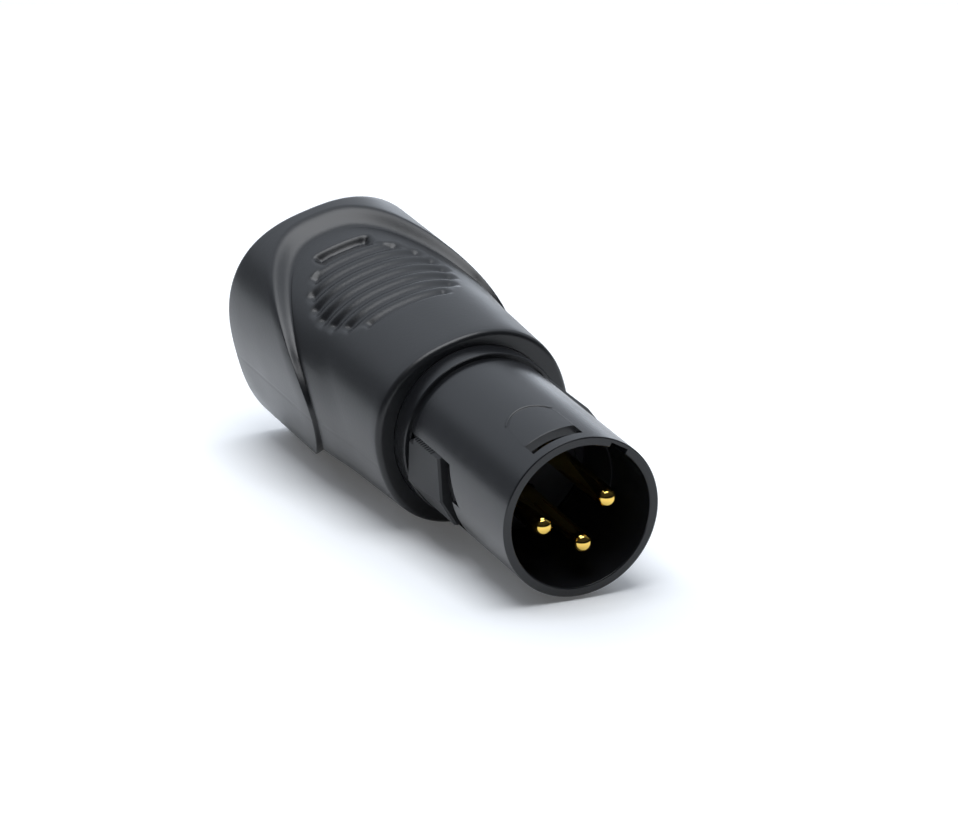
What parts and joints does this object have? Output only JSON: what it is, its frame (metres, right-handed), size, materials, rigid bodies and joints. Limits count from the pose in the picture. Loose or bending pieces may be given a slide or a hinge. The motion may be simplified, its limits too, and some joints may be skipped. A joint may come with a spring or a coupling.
{
  "type": "xlr adapter",
  "caption": "Black moulded adapter with a three-pin XLR plug at the front and a modular jack in the flat rear face.",
  "frame": {"origin": "centre of the rear face, on the adapter's axis", "axes": "+Z runs from the rear face to the plug's rim, -Y is the side of the plug's latch window, +X is the first pin's side"},
  "size_m": [0.027, 0.0282, 0.0687],
  "materials": {
    "grip": "satin moulded black compound",
    "shell": "semi-gloss moulded black",
    "insert": "satin moulded black",
    "gold": "bright gold plating",
    "board": "green lacquered laminate",
    "sleeve_black": "smooth wire sleeve",
    "sleeve_red": "smooth wire sleeve",
    "sleeve_white": "smooth wire sleeve"
  },
  "bodies": {
    "root": {"grip_body": "grip", "plug_shell": "shell", "contact_carrier": "insert", "plug_pin_1": "gold", "plug_pin_2": "gold", "plug_pin_3": "gold", "jack_housing": "insert", "jack_contact_block": "insert", "jack_contact_1": "gold", "jack_contact_2": "gold", "jack_contact_3": "gold", "jack_contact_4": "gold", "jack_contact_5": "gold", "jack_contact_6": "gold", "jack_contact_7": "gold", "jack_contact_8": "gold", "circuit_board": "board", "lead_1": "sleeve_black", "lead_2": "sleeve_red", "lead_3": "sleeve_white"}
  },
  "joints": []
}
